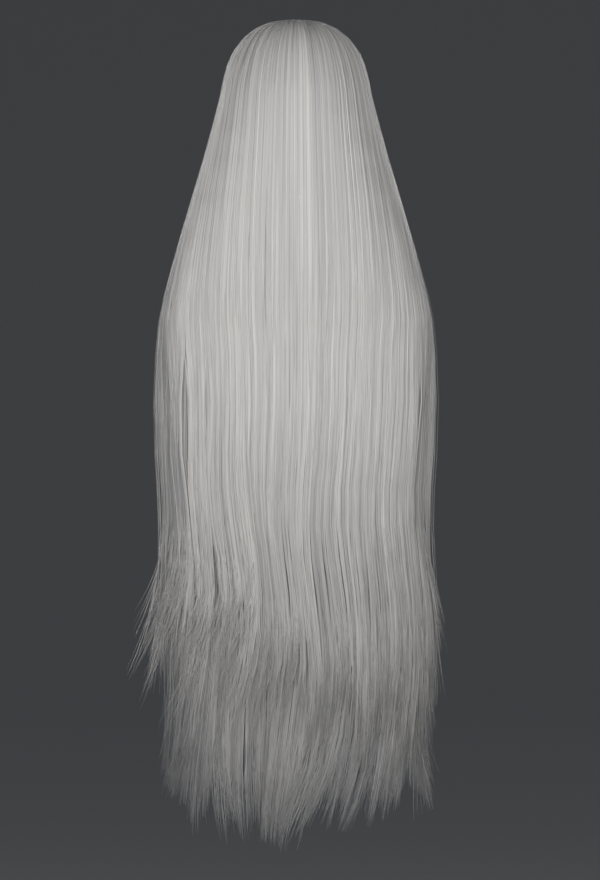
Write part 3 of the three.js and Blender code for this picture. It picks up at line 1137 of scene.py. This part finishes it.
    def on_head(self, azimuth: np.ndarray) -> np.ndarray:
        """Where strands lie on the head, by where they hang. The middle ones fall straight down, while
        the form widens, so they lie wider apart on the head."""
        ear = self.hair.ear
        share = np.clip(np.abs(azimuth) / ear, 0, 1)
        spread = np.sign(azimuth) * ear * (1 - (1 - share) ** self.fan)
        return np.where(np.abs(azimuth) < ear, spread, azimuth)

    def hangs_from(self, plan: StrandPlan) -> np.ndarray:
        """The drops where the strands leave the head."""
        return np.full(len(plan.azimuth), self.hair.free_from)

    def hang(self, azimuth: np.ndarray, drop: np.ndarray, depth: np.ndarray) -> PointsAndWays:
        """Points of the tier below the head, and the ways out from them."""
        return self.hair.behind(azimuth, drop, depth)

    def drops(self, plan: StrandPlan, layer: Layer) -> tuple[np.ndarray, np.ndarray]:
        """Where the points of the strands lie below the head.

        Args:
            plan: the strands.
            layer: the layer that they lie in.

        Returns:
            Drops by strand and place along it, and which of them are used. They are level from strand
            to strand, so that neighbours lie side by side, apart from the first and the tip.
        """
        start, tip = self.hangs_from(plan)[:, None], plan.tip[:, None]
        levels = np.array([x for x in layer.levels if x > start.max() + self.first_step])
        drop = np.concatenate([start, np.repeat(levels[None], len(start), axis=0)], axis=1)
        last = (drop < tip - self.last_step).sum(axis=1, keepdims=True)
        place = np.arange(drop.shape[1])
        return np.where(place == last, tip, np.minimum(drop, tip)), place <= last

    def combed(self, plan: StrandPlan, drop: np.ndarray) -> tuple[np.ndarray, np.ndarray]:
        """Gathers strands into clumps towards their tips and opens the gaps between locks.

        Args:
            plan: the strands.
            drop: the drops of their points, by strand and place along it.

        Returns:
            The azimuths and depths of the points.
        """
        comb, hair = self.combing, self.hair
        loose = comb.gather * smooth(*comb.gathers, drop) + comb.gather_low * smooth(*comb.gathers_low, drop)
        ends = 1 - smooth(0, comb.gather_length, plan.tip[:, None] - drop)
        held = mix(loose, comb.gather_at_tip, ends**comb.gather_curve)
        fallen = np.clip((drop - hair.free_from) / (hair.spread_by - hair.free_from), 0, 1)
        fallen = fallen**hair.spread_curve
        azimuth = mix(self.on_head(plan.azimuth)[:, None], plan.azimuth[:, None], fallen)
        azimuth = mix(azimuth, plan.clump_azimuth[:, None], held)
        points_in = 1 - smooth(0, comb.wisp_length, plan.wisp_tip[:, None] - drop)
        azimuth = mix(azimuth, plan.wisp_azimuth[:, None], comb.wisp_gather * points_in**comb.wisp_curve)
        depth = mix(plan.depth[:, None], plan.clump_depth[:, None], held)
        for strip in self.recesses:
            inside = smooth(strip.azimuth, strip.full, azimuth) * (1 - smooth(*strip.ends, np.abs(azimuth)))
            inside = inside * (plan.flies == 0)[:, None]
            sunk = smooth(*strip.sinks, drop) * (1 - smooth(*strip.rises, drop))
            depth = depth + strip.depth * inside * sunk
        for gap in self.gaps:
            apart = azimuth - gap.azimuth
            opened = smooth(gap.top, gap.top + gap.opens, drop)
            window = opened * (1 - smooth(gap.bottom - gap.closes, gap.bottom, drop))
            near = np.exp(-((apart / (gap.reach * gap.half)) ** 2))
            azimuth = azimuth + np.sign(apart) * gap.half * near * window
        return azimuth, depth

    def paths(self, plan: StrandPlan, layer: Layer) -> StrandPaths:
        """Works out the strands' paths.

        Args:
            plan: the strands.
            layer: the layer that they lie in.

        Returns:
            The paths, from the strands' roots to their tips.
        """
        comb = self.combing
        drop, used = self.drops(plan, layer)
        azimuth, depth = self.combed(plan, drop)
        hanging, out = self.hang(azimuth, drop, depth)
        across = np.stack([out[..., 1], -out[..., 0], out[..., 2]], axis=-1)
        leaves = plan.leaves[:, None]
        curl_length = np.maximum(plan.tip[:, None] - leaves, comb.shortest_curl)
        bend = np.clip((drop - leaves) / curl_length, 0, comb.curl_goes_on) ** 2
        turn = plan.phase[:, None] + (drop - comb.wave_crest) * (2 * math.pi / comb.wave_length)
        wave = -comb.wave * plan.swing[:, None] * smooth(*comb.waves, drop) * np.cos(turn)
        stray = np.sin(plan.stray_phase[:, None] + drop * (2 * math.pi / plan.stray_length[:, None]))
        stray *= comb.stray * smooth(*comb.strays, drop) + comb.stray_low * smooth(*comb.strays_low, drop)
        flies = plan.flies[:, None] * smooth(*comb.flies, drop)
        hanging = hanging + across * (wave + stray + comb.fly_across * flies)[..., None]
        bulge = comb.wave_bulge * wave * np.cos(np.radians(azimuth)) ** 2
        outwards = plan.lift[:, None] * bend + bulge + comb.fly_out * np.abs(flies)
        hanging = hanging + out * outwards[..., None]
        hanging[..., 0] += plan.sway[:, None] * bend
        lying = self.lead(plan, layer.lead_steps)
        points = np.concatenate([lying, hanging], axis=1)
        flat = mix(1.0, self.flatness, smooth(*self.flattens, drop))
        outward = np.stack([out[..., 0], out[..., 1] * flat, out[..., 2]], axis=-1)
        facing = np.concatenate([self.hair.off_head(lying), outward], axis=1)
        ahead = np.gradient(points, axis=1)
        ahead /= np.linalg.norm(ahead, axis=-1, keepdims=True) + TINY
        facing -= ahead * (facing * ahead).sum(-1, keepdims=True)
        facing /= np.linalg.norm(facing, axis=-1, keepdims=True)
        far = np.repeat(plan.tip[:, None], layer.lead_steps, axis=1)
        to_tip = np.concatenate([far, plan.tip[:, None] - drop], axis=1)
        return StrandPaths(points, facing, to_tip, np.concatenate([far > 0, used], axis=1))

    def thickness(self, plan: StrandPlan, paths: StrandPaths) -> np.ndarray:
        """Thickness along each strand, fine on the outside of the tier and tapered to its tip.

        Args:
            plan: the strands.
            paths: their paths.

        Returns:
            Millimetres by strand and place along it.
        """
        comb = self.combing
        base = mix(comb.fine, comb.coarse, plan.depth / self.thick)
        base = np.where(plan.flies != 0, comb.fly_thickness * comb.fine, base)
        base = np.where(plan.flicks, comb.flick_thickness * comb.fine, base)
        taper = np.where(plan.flicks, comb.flick_taper, comb.taper)[:, None]
        root = mix(comb.root_thickness, 1.0, smooth(0, comb.root_steps, np.arange(paths.to_tip.shape[1])))
        return base[:, None] * root * mix(comb.tip_thickness, 1.0, smooth(0, taper, paths.to_tip))

    def tone(self, plan: StrandPlan, paths: StrandPaths) -> np.ndarray:
        """Tone along each strand, with its fine lines and with painted glints that give more contrast
        towards its tip.

        Args:
            plan: the strands.
            paths: their paths.

        Returns:
            Shares from dark to light, by strand and place along it.
        """
        comb = self.combing
        stretch = (plan.tip[:, None] - paths.to_tip) / comb.sheen_length
        above = np.clip(stretch.astype(int), 0, plan.sheen.shape[1] - 2)
        strand = np.arange(len(above))[:, None]
        lines = mix(plan.sheen[strand, above], plan.sheen[strand, above + 1], stretch - above)
        # parted brings in the painted glints towards the tips.
        parted = 1 - smooth(*comb.glints, paths.to_tip)
        return np.clip(plan.tone[:, None] + plan.glint[:, None] * parted + comb.sheen * lines, 0, 1)

    def build(self, sweep: StrandSweep, finish: bpy.types.Material) -> list[bpy.types.Object]:
        """Makes the tier's pieces, layer by layer and side by side across it.

        Args:
            sweep: what turns paths into meshes.
            finish: the hair's material.

        Returns:
            The pieces.
        """
        plan = self.plan()
        made = []
        for index, layer in enumerate(self.layers):
            parts = np.array_split(np.flatnonzero(plan.layer == index), layer.pieces)
            for number, part in enumerate(parts, start=1):
                name = f"{self.node}_{layer.name}" + (f"_{number}" if layer.pieces > 1 else "")
                made.append(self.piece(name, plan.take(part), layer, sweep, finish))
        return made

    def piece(
        self, name: str, plan: StrandPlan, layer: Layer, sweep: StrandSweep, finish: bpy.types.Material
    ) -> bpy.types.Object:
        """Makes one piece of the tier.

        Args:
            name: the piece's name.
            plan: its strands.
            layer: the layer that they lie in.
            sweep: what turns paths into meshes.
            finish: the hair's material.

        Returns:
            The piece, riding on the body and standing for the tier's solid.
        """
        paths = self.paths(plan, layer)
        values = {"thickness": self.thickness(plan, paths), "tone": self.tone(plan, paths)}
        piece = sweep.sweep(name, paths, values, finish)
        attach(piece, BODY)
        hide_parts(self.node)
        return piece


@dataclass
class NapeTier(HairTier):
    """The tier sewn to the cap at the nape, under the back tier."""

    rows: tuple[float, ...] = (136.0, 144.0, 152.0, 160.0)
    row_jitter: float = 1.5
    clears: float = 14.0

    def starts(self, rng: np.random.Generator, depth: np.ndarray) -> np.ndarray:
        """Rows on the cap at the nape, as drops."""
        count = len(depth)
        return rng.choice(self.rows, count) + rng.uniform(-self.row_jitter, self.row_jitter, count)

    def lead(self, plan: StrandPlan, steps: int) -> np.ndarray:
        """The strands' first points, on the cap."""
        z = self.hair.hair_top - plan.start
        offset = np.full_like(z, self.hair.cap_wall + self.hair.root_on_cap)
        return self.hair.at_height(plan.azimuth, z, offset)[:, None]

    def hangs_from(self, plan: StrandPlan) -> np.ndarray:
        """The drops where the strands lie clear of their rows."""
        return plan.start + self.clears

    def hang(self, azimuth: np.ndarray, drop: np.ndarray, depth: np.ndarray) -> PointsAndWays:
        """Points of the tier below its rows, and the ways out from them."""
        return self.hair.under(azimuth, drop, depth)


@dataclass
class SideTier(HairTier):
    """The tier from the front of the parting, which falls in front of a shoulder."""

    side: Side = Side.LEFT

    def hangs_from(self, plan: StrandPlan) -> np.ndarray:
        """The drops where the strands leave the head, lower towards the face."""
        share = (plan.azimuth - self.hair.ear) / (self.hair.face - self.hair.ear)
        return mix(self.hair.free_from, self.hair.face_free_from, share)

    def hang(self, azimuth: np.ndarray, drop: np.ndarray, depth: np.ndarray) -> PointsAndWays:
        """Points of the tier below the head, and the ways out from them."""
        return self.hair.in_front(azimuth, drop, depth)

    def paths(self, plan: StrandPlan, layer: Layer) -> StrandPaths:
        """The strands' paths, turned over to the tier's own side."""
        paths = super().paths(plan, layer)
        over = np.array([self.side.value, 1, 1])
        return replace(paths, points=paths.points * over, facing=paths.facing * over)


@dataclass
class WigCap:
    """The stretch cap under the hair: a thin net shell with a bound edge."""

    hair: HairField
    around: int = 120
    down: int = 26
    binding_thick: float = 1.04
    binding_wide: float = 2.08
    binding_sides: int = 8

    def shell_points(self, offset: float) -> np.ndarray:
        """Points of one face of the cap.

        Args:
            offset: how far out of the head's form.

        Returns:
            Points by ring, place round it and axis, without the crown.
        """
        turn = np.arange(self.around) * 360 / self.around
        rim = RIM_TABLE.at("polar", np.minimum(turn, 360 - turn))
        polar = rim[None] * (np.arange(1, self.down + 1) / self.down)[:, None]
        azimuth = np.broadcast_to(turn[None], polar.shape)
        return self.hair.on_head(self.hair.direction(azimuth, polar), np.full(polar.shape, offset))

    def build(self, finish: bpy.types.Material) -> list[bpy.types.Object]:
        """Makes the cap and the binding round its rim.

        Args:
            finish: the net's material.

        Returns:
            The pieces.
        """
        net = self._piece("wig_cap_net", *self._shell(), finish)
        band = self._piece("wig_cap_binding", *self._binding(), finish)
        return [net, band]

    def _shell(self) -> tuple[np.ndarray, list[tuple[int, ...]]]:
        """Vertices and faces of the shell, closed round the rim."""
        n, d = self.around, self.down
        faces: list[tuple[int, ...]] = []
        vertices = []
        for offset in (self.hair.cap_wall, 0.0):
            crown = self.hair.on_head(np.array([[0.0, 0.0, 1.0]]), np.array([offset]))
            vertices.append(np.concatenate([crown, self.shell_points(offset).reshape(-1, 3)]))
        inner = 1 + n * d
        for j in range(n):
            k = (j + 1) % n
            faces.append((0, 1 + k, 1 + j))
            faces.append((inner, inner + 1 + j, inner + 1 + k))
            for r in range(d - 1):
                a, b, c, e = (1 + r * n + j, 1 + r * n + k, 1 + (r + 1) * n + k, 1 + (r + 1) * n + j)
                faces.append((a, b, c, e))
                faces.append((inner + a, inner + e, inner + c, inner + b))
            a, b = 1 + (d - 1) * n + j, 1 + (d - 1) * n + k
            faces.append((a, b, inner + b, inner + a))
        return np.concatenate(vertices), faces

    def _binding(self) -> tuple[np.ndarray, list[tuple[int, ...]]]:
        """Vertices and faces of a bead that wraps the rim."""
        line = self.shell_points(self.hair.cap_wall / 2)[-1]
        ahead = np.roll(line, -1, axis=0) - np.roll(line, 1, axis=0)
        ahead /= np.linalg.norm(ahead, axis=1, keepdims=True)
        out = line - np.array([0, 0, -self.hair.half_z])
        out /= np.linalg.norm(out, axis=1, keepdims=True)
        up = np.cross(ahead, out)
        turn = (np.arange(self.binding_sides) * 2 * math.pi / self.binding_sides)[None, :, None]
        thick = out[:, None] * np.cos(turn) * self.binding_thick
        wide = up[:, None] * np.sin(turn) * self.binding_wide
        vertices = (line[:, None] + thick + wide).reshape(-1, 3)
        n, m = self.around, self.binding_sides
        faces = [
            (i * m + j, i * m + (j + 1) % m, (i + 1) % n * m + (j + 1) % m, (i + 1) % n * m + j)
            for i in range(n)
            for j in range(m)
        ]
        return vertices, faces

    def _piece(
        self, name: str, vertices: np.ndarray, faces: list[tuple[int, ...]], finish: bpy.types.Material
    ) -> bpy.types.Object:
        """Turns points and faces into a piece that stands for the cap.

        Args:
            name: the piece's name.
            vertices: its points in millimetres.
            faces: its faces.
            finish: its material.

        Returns:
            The piece.
        """
        mesh = bpy.data.meshes.new(name)
        mesh.from_pydata((vertices * MM).tolist(), [], faces)
        mesh.polygons.foreach_set("use_smooth", np.ones(len(mesh.polygons), bool))
        mesh.materials.append(finish)
        mesh.update()
        piece = bpy.data.objects.new(name, mesh)
        bpy.context.scene.collection.objects.link(piece)
        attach(piece, BODY)
        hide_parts("wig_cap")
        return piece


@dataclass(frozen=True)
class Lamp:
    """A soft rectangular light: where it stands, what it faces, its width and height, its watts, and the
    degrees of its beam."""

    name: str
    place: tuple[float, float, float]
    aim: tuple[float, float, float]
    size: tuple[float, float]
    power: float
    spread: float


LAMPS = (
    Lamp("key", (0.1, 1.75, -0.13), (0.0, 0.1, -0.24), (1.0, 0.6), 3.75, 68),
    Lamp("fill", (0.0, -2.6, -0.1), (0.0, 0.0, -0.4), (3.0, 1.2), 30.0, 130),
    Lamp("overhead", (0.0, -0.6, 3.0), (0.0, -0.6, -1.0), (3.0, 3.0), 5.0, 160),
)


@dataclass(frozen=True)
class Studio:
    """A pale round sweep of floor, soft lights and a far camera level with the middle of the hair, in
    metres."""

    camera_x: float = -0.0046
    camera_y: float = 12.0
    camera_z: float = -0.4704
    lens: float = 424.0
    sensor: float = 36.0
    sees_to: float = 100.0
    floor_z: float = -1.13
    floor_radius: float = 14.0
    sweep_radius: float = 6.0
    sweep_rings: int = 19
    turns: int = 96
    shade: Colour = (0.60, 0.60, 0.61, 1.0)
    floor_roughness: float = 0.9
    lamp_colour: tuple[float, float, float] = (1.0, 0.985, 0.96)
    sky_colour: Colour = (0.9, 0.94, 1.0, 1.0)
    sky_strength: float = 0.09

    def camera(self) -> None:
        """Places the camera behind the wig and makes it the scene's own."""
        data = bpy.data.cameras.new("camera")
        data.lens = self.lens
        data.sensor_width = self.sensor
        data.clip_end = self.sees_to
        camera = bpy.data.objects.new("camera", data)
        camera.location = (self.camera_x, self.camera_y, self.camera_z)
        camera.rotation_euler = (math.radians(90), 0, math.radians(180))
        bpy.context.scene.collection.objects.link(camera)
        bpy.context.scene.camera = camera

    def floor(self) -> bpy.types.Object:
        """Makes the floor, which curves up all round far away from the object.

        Returns:
            The floor.
        """
        rise = np.radians(np.linspace(0, 90, self.sweep_rings))
        radius = self.floor_radius + self.sweep_radius * np.sin(rise)
        height = self.floor_z + self.sweep_radius * (1 - np.cos(rise))
        turn = np.arange(self.turns) * 2 * math.pi / self.turns
        x, y = radius[:, None] * np.cos(turn), radius[:, None] * np.sin(turn)
        rings = np.stack([x, y, np.repeat(height[:, None], self.turns, axis=1)], axis=-1)
        vertices = [(0.0, 0.0, self.floor_z)] + rings.reshape(-1, 3).tolist()
        n = self.turns
        faces: list[tuple[int, ...]] = [(0, 1 + j, 1 + (j + 1) % n) for j in range(n)]
        for i in range(len(rise) - 1):
            for j in range(n):
                a, b = 1 + i * n + j, 1 + i * n + (j + 1) % n
                faces.append((a, a + n, b + n, b))
        mesh = bpy.data.meshes.new("floor")
        mesh.from_pydata(vertices, [], faces)
        mesh.polygons.foreach_set("use_smooth", np.ones(len(faces), bool))
        material = bpy.data.materials.new("floor")
        material.use_nodes = True
        shader = material.node_tree.nodes["Principled BSDF"]
        shader.inputs["Base Color"].default_value = self.shade
        shader.inputs["Roughness"].default_value = self.floor_roughness
        mesh.materials.append(material)
        floor = bpy.data.objects.new("floor", mesh)
        bpy.context.scene.collection.objects.link(floor)
        return floor

    def light(self, lamp: Lamp) -> None:
        """Adds a light.

        Args:
            lamp: what it is like and where it stands.
        """
        data = bpy.data.lights.new(lamp.name, "AREA")
        data.shape = "RECTANGLE"
        data.size, data.size_y = lamp.size
        data.energy = lamp.power
        data.color = self.lamp_colour
        data.spread = math.radians(lamp.spread)
        stand = bpy.data.objects.new(lamp.name, data)
        stand.location = lamp.place
        stand.visible_camera = False
        way = np.array(lamp.aim) - np.array(lamp.place)
        flat = math.hypot(way[0], way[1])
        stand.rotation_euler = (math.atan2(flat, -way[2]), 0, math.atan2(-way[0], way[1]))
        bpy.context.scene.collection.objects.link(stand)

    def build(self) -> None:
        """Sets up the stage, the lights and the view."""
        self.camera()
        self.floor()
        for lamp in LAMPS:
            self.light(lamp)
        world = bpy.data.worlds.new("studio")
        world.use_nodes = True
        background = world.node_tree.nodes["Background"]
        background.inputs["Color"].default_value = self.sky_colour
        background.inputs["Strength"].default_value = self.sky_strength
        bpy.context.scene.world = world
        bpy.context.scene.view_settings.view_transform = "Standard"


def tiers(hair: HairField) -> list[HairTier]:
    """The wig's tiers of hair.

    Args:
        hair: the field that all of them follow.

    Returns:
        The tiers, from the nape outwards.
    """
    outer = Layer("strands", share=0.7, top=0.0, bottom=0.18, lead_steps=11, levels=BACK_LEVELS, pieces=3)
    under = Layer("under_strands", share=0.3, top=0.18, bottom=1.0, lead_steps=4, levels=BACK_LEVELS[1::2])
    loose = Layer("loose_strands", share=0.0, top=0.0, bottom=0.18, lead_steps=6, levels=LOOSE_LEVELS)
    nape = Layer("strands", share=1.0, top=0.0, bottom=1.0, lead_steps=1, levels=NAPE_LEVELS, pieces=2)
    side = Layer("strands", share=1.0, top=0.0, bottom=0.9, lead_steps=7, levels=SIDE_LEVELS, crowding=2.4)
    nape_tier = NapeTier(
        hair=hair,
        node="nape_hair",
        locks=NAPE_LOCKS,
        first=84.0,
        last=-84.0,
        thick=hair.nape_thick,
        splits=640.0,
        strands=2500,
        layers=(nape,),
        seed=11,
        # The nape tier starts from a darker tone than the back tier and gets more painted shade with depth.
        combing=Combing(wave=8.0, brush=14, uneven=40, layered=80, wisp_gather=0.35, tone=0.54, shaded=0.45),
        flatness=1.6,
        gaps=NAPE_GAPS,
    )
    back_tier = HairTier(
        hair=hair,
        node="back_hair",
        locks=BACK_LOCKS,
        first=89.5,
        last=-89.5,
        thick=hair.back_thick,
        splits=640.0,
        strands=4400,
        layers=(outer, under, loose),
        seed=12,
        combing=Combing(),
        fan=1.8,
        flatness=1.6,
        gaps=BACK_GAPS,
        recesses=BACK_RECESSES,
        flicks=BACK_FLICKS,
    )
    side_tiers = [
        SideTier(
            hair=hair,
            node=node,
            locks=SIDE_LOCKS,
            first=90.5,
            last=hair.face,
            thick=hair.back_thick,
            splits=740.0,
            strands=850,
            layers=(side,),
            seed=seed,
            combing=Combing(),
            side=which,
        )
        for node, seed, which in (("side_hair_left", 13, Side.LEFT), ("side_hair_right", 14, Side.RIGHT))
    ]
    return [nape_tier, back_tier, *side_tiers]


def report(pieces: Sequence[bpy.types.Object]) -> None:
    """Logs each piece with its number of triangles."""
    for piece in pieces:
        log.info("%s: %d triangles", piece.name, sum(len(p.vertices) - 2 for p in piece.data.polygons))


def main() -> None:
    """Builds the wig and its stage."""
    logging.basicConfig(level=logging.INFO, format="%(name)s: %(message)s")
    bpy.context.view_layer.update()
    hair = HairField()
    report(WigCap(hair).build(NetFinish().material()))
    sweep = StrandSweep()
    fibre = HairFinish().material()
    for tier in tiers(hair):
        report(tier.build(sweep, fibre))
    Studio().build()
    bpy.context.view_layer.update()


if __name__ == "__main__":
    main()
